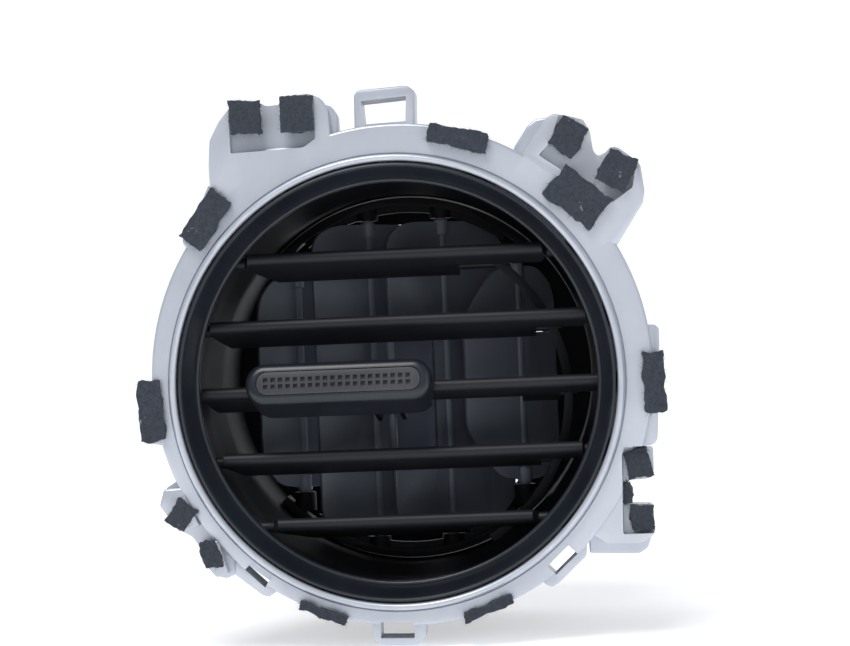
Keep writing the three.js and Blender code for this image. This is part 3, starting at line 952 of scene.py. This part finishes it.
@dataclass
class Duct:
    """The black parts behind the bezel: funnel, barrel, rear seal and the blades' two strips."""

    finishes: Finishes
    front: float = BORE
    rear: float = 40.5
    wall: float = 2
    taper: Point = (22, 27)
    end: float = 60
    rib_places: Point = (47.5, 58.4)
    rib_width: float = 1.6
    rib_reach: float = 5.6
    ramp: tuple = ((BORE + 1, 8, -2.1), (46.4, 10, 2.1))
    web_reach: float = 4
    web_ends: Point = (28, 47.6)
    web_half: float = 0.7
    boss: float = 2.6
    pin_hole: float = 1.5
    rim_ends: Point = (57.2, 58.8)

    def funnel(self) -> None:
        """Places the satin ring that narrows to the lip."""
        lip = arc(0.55, 300, 180, 8, (41.75, 0.25))
        profile = [
            (44.8, -5.7), (44.6, -5.9), (44.3, -5.95), (44.05, -5.75), (43.75, -5), (43.3, -3.8),
            (42.8, -2.5), (42.35, -1.1), (42.1, -0.35), *lip, (41.25, 1.4), (41.4, 1.9),
            (41.7, 2.2), (43.4, 2.6), (43.4, 4.6), (44.8, 4.6),
        ]
        ring = Bench.smooth(Bench.spin("front_trim", profile), 40)
        place(ring, "shell", "satin_black", self.finishes, "trim_ring")

    def tube(self) -> Piece:
        """Returns the plain barrel, wide in front and narrower behind its taper."""
        front, rear, wall, end = self.front, self.rear, self.wall, self.end
        start, stop = self.taper
        outside = [(front + 1.7, 5), (front + wall, 5.3), (front + wall, start),
                   (rear + wall, stop), (rear + wall, end - 0.4), (rear + 1.6, end)]
        inside = [(rear + 0.4, end), (rear, end - 0.4), (rear, stop), (front, start), (front, 5.3)]
        return Bench.spin("barrel", [(front + 0.3, 5), *outside, *inside], BARREL_TURN)

    def rib(self, y: float) -> Piece:
        """Returns one of the two ribs that the seal lies between, from y backwards."""
        low, high, back = self.rear + 1, self.rear + self.rib_reach, y + self.rib_width
        crown = [(high - 0.3, y), (high, y + 0.3), (high, y + 1.3), (high - 0.3, back)]
        return Bench.spin("rib", [(low, y), *crown, (low, back)], COARSE_TURN)

    def bosses(self, z: float) -> list[Piece]:
        """Makes the two bosses that a vane's pins turn in.

        Args:
            z: the vane's height.

        Returns:
            The bosses.
        """
        wall = math.sqrt((self.front + 1) ** 2 - z * z)
        made = []
        for side in (-1, 1):
            inner, outer = sorted((side * (wall + 0.6), side * (wall + 3)))
            ends = (mm(inner, VANE_PIVOT_Y, z), mm(outer, VANE_PIVOT_Y, z))
            made.append(Bench.rod(*ends, self.boss * MM, 32))
        return made

    def rim(self) -> Piece:
        """Returns the rim inside the rear end, which narrows the mouth at the sides."""
        plate = Bench.slab("rim", arc(self.rear + 0.8, 0, 357.5, 143), *self.rim_ends)
        top = [(14, 34), (11.4, 35), (-11.4, 35), (-14, 34)]
        left = [(-31, 17), (-31, -17), (-14, -34)]
        outline = [(31, -17), (31, 17), *top, *left, *arc(36.8, 248, 292, 12), (14, -34)]
        tool = Bench.slab("mouth", outline, 50, 70)
        return Bench.cut(plate, Bench.soften(tool, 1.2, 4, 25))

    def barrel(self) -> None:
        """Places the barrel with its ribs, ramps, webs, pivot bosses and rim."""
        (start, stop), half = self.web_ends, self.web_half
        web = ((self.rear + 1.2, start, -half), (self.rear + self.web_reach, stop, half))
        shell = self.tube()
        parts = [self.rib(y) for y in self.rib_places]
        parts += [Bench.swing(Bench.brick(*self.ramp, 0.3), angle) for angle in SNAP_ANGLES]
        parts += [Bench.swing(Bench.brick(*web, 0.3), angle) for angle in range(15, 360, 30)]
        for z in VANE_HEIGHTS:
            parts += self.bosses(z)
        parts.append(self.rim())
        holes = Bench.join("holes", [
            Bench.rod(mm(-60, VANE_PIVOT_Y, z), mm(60, VANE_PIVOT_Y, z), self.pin_hole * MM)
            for z in VANE_HEIGHTS
        ])
        for part in parts:
            Bench.unite(shell, part)
        Bench.smooth(Bench.cut(shell, holes), 32)
        place(shell, "shell", "black_plastic", self.finishes, "duct_housing")

    def seal(self) -> None:
        """Places the foam ring near the barrel's end."""
        low, high = self.rear + 2.3, self.rear + 6.7
        crown = [
            (low, 49.6), (low + 2.2, 49.7), (low + 3.5, 50.4), (high - 0.2, 51.9), (high, 53.6),
            (high - 0.2, 55.4), (low + 3.5, 57.1), (low + 2.2, 57.9), (low, 58),
        ]
        ring = Bench.smooth(Bench.spin("rear_seal", crown, COARSE_TURN), 50)
        place(ring, "shell", "foam", self.finishes, "rear_duct_seal")

    def build(self) -> None:
        """Places every black part that doesn't move."""
        self.funnel()
        self.barrel()
        self.seal()
        for side in Side:
            place_copy(f"{side.value}_pivot_strip", f"{side.value}_strip", "shell", self.finishes)


# ---------------------------------------------------------------- moving parts


@dataclass
class Vanes:
    """Five horizontal vanes on one link."""

    finishes: Finishes
    middle: int = 3
    behind: float = 15
    nose: float = 1.3
    gap: float = 0.7
    swing: float = 22
    crank: float = 8.5
    crank_from: float = 5.4
    link: Point = (34.2, 36)
    left_stations: tuple = (15, 12, 9, 6, 4, 2, 0, -1, -2, -3, -4)
    right_stations: tuple = (-4, -3, -2, -1, 0, 2, 4, 5.4)
    fork_room: tuple = ((-8.5, 8, -3), (25.3, 20, 3))
    pin_radius: float = 1.2
    lever_radius: float = 0.9

    def reach(self, z: float, station: float) -> float:
        """Returns half the width that a vane at z may have at a station along its chord."""
        sweep = abs(station) * math.sin(math.radians(self.swing))
        return math.sqrt(BORE**2 - (abs(z) + sweep + self.nose) ** 2) - self.gap

    def section(self) -> list[Point]:
        """Returns the vane's (y, z) section: a round nose on a tapering web."""
        front = arc(self.nose, 90, 270, 18, (self.nose - 4, 0))
        end = self.behind
        lower = [(-0.5, -1.1), (2, -0.95), (end - 0.3, -0.55), (end, -0.3)]
        return front + lower + [(y, -z) for y, z in reversed(lower)]

    def web(self, z: float, number: int, edge: float) -> Piece:
        """Makes one vane's web, cut to its outline from above.

        Args:
            z: the vane's height.
            number: its number, from the top.
            edge: half its width where the lever stands.

        Returns:
            The web, straight ahead, at the origin.
        """
        left = [(-self.reach(z, s), s) for s in self.left_stations]
        right = [(self.reach(z, s), s) for s in self.right_stations]
        corner = (min(edge, self.reach(z, self.behind)), self.behind)
        outline = right + [(edge, self.crank_from), corner] + left
        web = Bench.beam(f"vane_{number}", self.section(), -44, 44)
        Bench.combine(web, Bench.sheet("plan", outline, -3, 3), Combine.TRIM)
        if number == self.middle:
            Bench.cut(web, Bench.brick(*self.fork_room))
        return Bench.smooth(web, 30)

    def vane(self, z: float, number: int) -> Piece:
        """Makes one vane with its pins and lever.

        Args:
            z: the vane's height.
            number: its number, from the top.

        Returns:
            The vane, straight ahead, at the origin.
        """
        across = abs(z - VANE_HEIGHTS[self.middle - 1])
        inner, outer = self.link
        edge = math.sqrt(inner**2 - (across + 3.6) ** 2) - self.gap
        web = self.web(z, number, edge)
        tip = math.sqrt(BORE**2 - z * z) + 1.6
        root = self.reach(z, 0) - 1
        pins = [
            Bench.rod(mm(side * tip, 0, 0), mm(side * root, 0, 0), self.pin_radius * MM)
            for side in (-1, 1)
        ]
        far = math.sqrt(outer**2 - across**2) + 1
        ends = (mm(edge - 1, self.crank, 0), mm(far, self.crank, 0))
        return Bench.join(web.name, [web, *pins, Bench.rod(*ends, self.lever_radius * MM)])

    def build(self) -> None:
        """Places the vanes, tipped to rest, and their link."""
        for number, z in enumerate(VANE_HEIGHTS, 1):
            made = Bench.seat(self.vane(z, number), (0, VANE_PIVOT_Y, z), -VANE_TIP)
            node = f"front_vane_{number}"
            place(made, node, "vane_plastic", self.finishes, node)
        place_copy("vane_link", "link_of_vanes", "vane_link", self.finishes)


@dataclass
class Knob:
    """The sliding knob on the middle vane, in that vane's own frame."""

    finishes: Finishes
    width: float = 38.6
    height: float = 8.8
    corner: float = 4.1
    front: float = -12
    back: float = 3
    crown: float = 1.9
    at: tuple = (-12, VANE_PIVOT_Y, -2)
    passages: tuple = (
        ((-25, -4.4, -1.65), (25, 4, 1.65)),
        ((-25, -1, -2.9), (25, 4, 2.9)),
        ((-4.4, -7, -1.5), (4.4, -4, 1.5)),
    )
    pocket: tuple = (34, 5, 2.3)
    band: tuple = (33.8, 4.8, 2.2)
    pit: float = 0.9
    columns: int = 20
    columns_span: float = 29.4
    first_column: float = -15
    rows: Point = (-0.7, 0.7)

    def rounded(self, width: float, height: float, radius: float) -> list[Point]:
        """Returns a width by height rectangle with round corners, about the middle."""
        x, z = width / 2 - radius, height / 2 - radius
        return [point for turn, centre in enumerate(((x, z), (-x, z), (-x, -z), (x, -z)))
                for point in arc(radius, 90 * turn, 90 * turn + 90, 10, centre)]

    def finished(self, piece: Piece, node: str, slot: str) -> None:
        """Smooths a piece, moves it to its place at rest and places it for a CAD node."""
        Bench.seat(Bench.smooth(piece, 35), self.at, -VANE_TIP)
        place(piece, "knob", slot, self.finishes, node)

    def round_front(self, piece: Piece, width: float, segments: int) -> None:
        """Rounds only the edges of a piece's front face.

        Args:
            piece: the object.
            width: how far the rounding reaches, in millimetres.
            segments: faces across the rounding.
        """
        points = piece.data.vertices
        front = min(vertex.co.y for vertex in points) + 1e-6
        edges = [e for e in piece.data.edges if all(points[i].co.y < front for i in e.vertices)]
        Bench.soften_marked(piece, edges, width, segments)

    def body(self) -> None:
        """Places the crowned body, hollow where the vane passes."""
        outline = self.rounded(self.width, self.height, self.corner)
        shell = Bench.slab("knob_body", outline, self.front, self.back)
        self.round_front(shell, self.crown, 8)
        for passage in self.passages:
            Bench.cut(shell, Bench.brick(*passage))
        pocket = self.rounded(*self.pocket)
        Bench.cut(shell, Bench.slab("pocket", pocket, self.front - 1, self.front + 1))
        self.finished(shell, "knob_shell", "satin_black")

    def grip(self) -> None:
        """Places the band with its rows of square pits."""
        front, half = self.front, self.pit / 2
        band = Bench.slab("knob_grip_band", self.rounded(*self.band), front - 0.1, front + 0.7)
        self.round_front(band, 0.25, 3)
        step = self.columns_span / (self.columns - 1)
        columns = [step * i + self.first_column for i in range(self.columns)]
        pits = [
            Bench.brick((x - half, front - 1, z - half), (x + half, front + 0.5, z + half))
            for z in self.rows for x in columns
        ]
        Bench.cut(band, Bench.join("pits", pits))
        self.finished(band, "knob_grip", "grip_rubber")

    def build(self) -> None:
        """Places the knob's pieces."""
        self.body()
        self.grip()
        place_copy("knob_fork", "knob_prongs", "knob", self.finishes, angle=40)
        paint_node("knob_friction_pad", "grip_rubber", self.finishes)


# Each blade's outline: distance behind its pivot, and half its height there.
OUTER_LEFT = ((-10, 15.5), (-9, 19.5), (-6, 23), (0, 24), (6, 23.5), (9, 20), (10, 17))
INNER = ((-14, 30), (-12, 33), (-8, 34.4), (8, 34.4), (13, 31.5), (16, 28))
OUTER_RIGHT = (
    (-14, 12), (-12, 15.5), (-9, 19.5), (-6, 23), (0, 24), (5, 23.5), (8, 20), (9, 17),
)


@dataclass
class Blades:
    """Four upright blades on one link; the driven one carries the bar in the knob's fork."""

    finishes: Finishes
    shapes: tuple = (OUTER_LEFT, INNER, INNER, OUTER_RIGHT)
    pitch: float = 16.4
    pivot_y: float = 39
    rest: float = -60
    thick: float = 1.4
    corner: float = 2.5
    hub: float = 1.05
    shoulder: float = 1.6
    crank: Point = (7, 10.7)
    crank_radius: float = 0.8
    notch_end: float = 11.2
    driven: int = 3
    bar_reach: float = 13.86
    bar_radius: float = 0.9
    window: Point = (-16.5, 10.5)

    def pin(self, s: float, low: float, high: float, radius: float) -> Piece:
        """Returns an upright pin at a station along the chord."""
        return Bench.rod(mm(0, s, low), mm(0, s, high), radius * MM, 20)

    def plate(self, shape: Outline, number: int) -> Piece:
        """Makes the flat web with rounded corners, and cuts the room for its crank.

        Args:
            shape: the blade's outline above its middle.
            number: the blade's number, from the left.

        Returns:
            The web.
        """
        outline = [*shape, *((s, -height) for s, height in reversed(shape))]
        web = Bench.beam(f"blade_{number}", outline, -self.thick / 2, self.thick / 2)
        points = web.data.vertices
        corners = [e for e in web.data.edges
                   if abs(points[e.vertices[0]].co.x - points[e.vertices[1]].co.x) > 1e-5]
        Bench.soften_marked(web, corners, self.corner, 5)
        reach, half = self.bar_reach, 0.7
        if number == self.driven:
            low, high = self.window
            Bench.unite(web, Bench.brick((-half, -reach - 0.3, low - 2), (half, -13, high + 2)))
            Bench.cut(web, Bench.brick((-5, -reach - 3, low), (5, -3.2, high)))
        station, level = self.crank
        notch = ((-5, station - 3.6, level - 1.8), (5, self.notch_end, level + 1.8))
        return Bench.soften(Bench.cut(web, Bench.brick(*notch)), 0.3, angle=50)

    def blade(self, shape: Outline, number: int) -> Piece:
        """Makes one blade, straight ahead, with its pivot on the Z axis.

        Args:
            shape: the blade's outline above its middle.
            number: the blade's number, from the left.

        Returns:
            The blade.
        """
        half = max(height for _, height in shape)
        station, level = self.crank
        low, high = self.window
        parts = [
            self.plate(shape, number),
            self.pin(0, -half - 2.8, half + 2.8, self.hub),
            self.pin(station, level - 2.2, level + 2.2, self.crank_radius),
            self.pin(0, -half - 0.4, 3 - half, self.shoulder),
            self.pin(0, half - 3, half + 0.4, self.shoulder),
        ]
        if number == self.driven:
            parts.append(self.pin(-self.bar_reach, low - 1.8, high + 1.8, self.bar_radius))
        return Bench.join(parts[0].name, parts)

    def build(self) -> None:
        """Places the blades, turned to rest, and their link."""
        middle = (len(self.shapes) + 1) / 2
        for number, shape in enumerate(self.shapes, 1):
            x = (number - middle) * self.pitch
            made = Bench.seat(self.blade(shape, number), (x, self.pivot_y, 0), self.rest, "Z")
            node = f"rear_blade_{number}"
            place(made, node, "blade_plastic", self.finishes, node)
        place_copy("blade_link", "link_of_blades", "blade_link", self.finishes, 0.15)


@dataclass
class Pads:
    """Ragged felt pads, one on each CAD pad's place."""

    finishes: Finishes
    cuts: int = 13
    fray: float = 0.32
    lumps_per_metre: float = 330
    tufts_per_metre: float = 1500
    fibres: int = 70
    fibre_length: Point = (0.5, 1.5)
    fibre_radii: Point = (0.035 * MM, 0.008 * MM)

    def pad(self, node: str) -> Piece:
        """Makes one pad with an uneven face, ragged edges and loose fibres.

        Args:
            node: the CAD pad that it stands for.

        Returns:
            The pad.
        """
        made = Bench.copy_of(node, node.replace("felt_", "pad_"))
        with Bench.editing():
            bpy.ops.mesh.subdivide(number_cuts=self.cuts)
        for vertex in made.data.vertices:
            lumps = noise.noise_vector(vertex.co * self.lumps_per_metre) * self.fray * 2
            tufts = noise.noise_vector(vertex.co * self.tufts_per_metre) * self.fray
            vertex.co += Vector((1, 0.35, 1)) * (lumps + tufts) * MM
        Bench.smooth(made, 60)
        return Bench.join(made.name, [made, *self.fuzz(made)])

    def fuzz(self, pad: Piece) -> list[Piece]:
        """Makes thin fibres that stand out from a pad's front and edges.

        Args:
            pad: the pad.

        Returns:
            The fibres, each an object of its own.
        """
        chance = random.Random(pad.name)
        thick, thin = self.fibre_radii
        bpy.ops.object.select_all(action="DESELECT")
        bpy.ops.mesh.primitive_cone_add(
            vertices=3, radius1=thick, radius2=thin, depth=MM, location=(0, 0, 0)
        )
        pattern = bpy.context.object
        fibres = []
        faces = [face for face in pad.data.polygons if face.normal.y < 0.4]
        for _ in range(self.fibres):
            face = chance.choice(faces)
            length = chance.uniform(*self.fibre_length)
            lean = Vector([chance.uniform(-1, 1) for _ in range(3)])
            way = (face.normal * 0.6 + lean).normalized()
            way.y = min(way.y, 0.1)
            turn = way.to_track_quat("Z", "Y").to_matrix().to_4x4()
            turn = turn @ Matrix.Diagonal((1, 1, length, 1))
            fibre = bpy.data.objects.new("fibre", pattern.data.copy())
            middle = face.center + way * length * 0.4 * MM
            fibre.data.transform(Matrix.Translation(middle) @ turn)
            bpy.context.collection.objects.link(fibre)
            fibres.append(fibre)
        bpy.data.objects.remove(pattern)
        return fibres

    def build(self) -> None:
        """Places every pad."""
        for node in sorted(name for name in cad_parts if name.startswith("felt_")):
            place(self.pad(node), "shell", "felt", self.finishes, node)


def paint_node(node: str, slot: str, finishes: Finishes) -> None:
    """Gives a CAD node that keeps its shape its finish.

    Args:
        node: the CAD node's name.
        slot: the material slot.
        finishes: the materials.
    """
    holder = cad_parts[node].material_slots[0]
    holder.link = "OBJECT"
    holder.material = finishes.materials[slot]
    LOG.info("%s keeps its shape", node)


# ---------------------------------------------------------------- studio


@dataclass(frozen=True)
class Lamp:
    """One square area light that faces the object."""

    name: str
    at: tuple[float, float, float]
    size: float
    power: float
    tint: tuple[float, float, float] = (1, 1, 1)

    def add(self) -> None:
        """Adds the light."""
        bpy.ops.object.light_add(type="AREA", location=(0, 0, 0))
        lamp = bpy.context.object
        lamp.name = self.name
        lamp.data.size = self.size
        lamp.data.energy = self.power
        lamp.data.color = self.tint
        spot = Vector(self.at)
        turn = (-spot).to_track_quat("-Z", "Y").to_matrix().to_4x4()
        lamp.matrix_world = Matrix.Translation(spot) @ turn


LAMPS = (
    Lamp("key", (-0.25, -0.6, 1.0), 0.6, 9),
    Lamp("fill", (0.8, -0.6, 0.25), 0.6, 0.8, (0.92, 0.96, 1)),
    Lamp("front", (0.05, -0.9, 0.1), 0.25, 0.2),
)


@dataclass
class Studio:
    """A pale floor that sweeps up behind the object, soft lights and the camera."""

    target: tuple[float, float, float] = (0, -0.006, 0)
    distance: float = 0.4606
    yaw: float = 4.35
    pitch: float = 1.33
    roll: float = -2.39
    aim: Point = (-0.0131, 0.0262)
    lens: float = 95.7
    sensor: float = 36
    clip_start: float = 0.01
    floor_gap: float = 0.0005
    floor_width: float = 8
    floor_tone: Colour = colour(0.93, 0.935, 0.95)
    floor_glow: float = 0.45
    sky: Colour = colour(0.86, 0.91, 1.0)
    sky_strength: float = 0.30

    def camera(self) -> None:
        """Adds the camera."""
        yaw, pitch = math.radians(self.yaw), math.radians(self.pitch)
        away = Vector((
            math.sin(yaw) * math.cos(pitch), -math.cos(yaw) * math.cos(pitch), math.sin(pitch)
        ))
        bpy.ops.object.camera_add(location=(0, 0, 0))
        camera = bpy.context.object
        camera.data.lens = self.lens
        camera.data.sensor_width = self.sensor
        camera.data.clip_start = self.clip_start
        turn = (-away).to_track_quat("-Z", "Y").to_matrix().to_4x4()
        turn = turn @ Matrix.Rotation(math.radians(self.roll), 4, "Z")
        turn = turn @ Matrix.Rotation(self.aim[0], 4, "Y") @ Matrix.Rotation(self.aim[1], 4, "X")
        camera.matrix_world = Matrix.Translation(Vector(self.target) + away * self.distance) @ turn
        bpy.context.scene.camera = camera

    def floor(self) -> None:
        """Adds the floor, swept up behind."""
        level = CAD_BOX[0][2] - self.floor_gap
        sweep = arc(0.5, -90, 0, 24, (1.0, level + 0.5))
        left = -self.floor_width / 2
        line = [Vector((left, y, z)) for y, z in [(-2.5, level), *sweep, (1.5, 3)]]
        floor = Bench.pull(Bench.line("floor", line), (self.floor_width, 0, 0), closed=False)
        Bench.smooth(floor, 40)
        floor.data.materials.append(Graph("floor").finish({
            "Base Color": self.floor_tone,
            "Roughness": 0.9,
            "Emission Color": colour(1, 1, 1),
            "Emission Strength": self.floor_glow,
        }))

    def build(self) -> None:
        """Adds everything that isn't the object."""
        self.camera()
        self.floor()
        world = bpy.data.worlds.new("studio")
        world.use_nodes = True
        sky = world.node_tree.nodes["Background"].inputs
        sky["Color"].default_value = self.sky
        sky["Strength"].default_value = self.sky_strength
        bpy.context.scene.world = world
        bpy.context.scene.view_settings.view_transform = "Standard"
        for lamp in LAMPS:
            lamp.add()


def main() -> None:
    """Builds the air outlet and its studio."""
    Studio().build()
    finishes = Finishes()
    for kind in (Bezel, Duct, Vanes, Knob, Blades, Pads):
        kind(finishes).build()


if __name__ == "__main__":
    main()
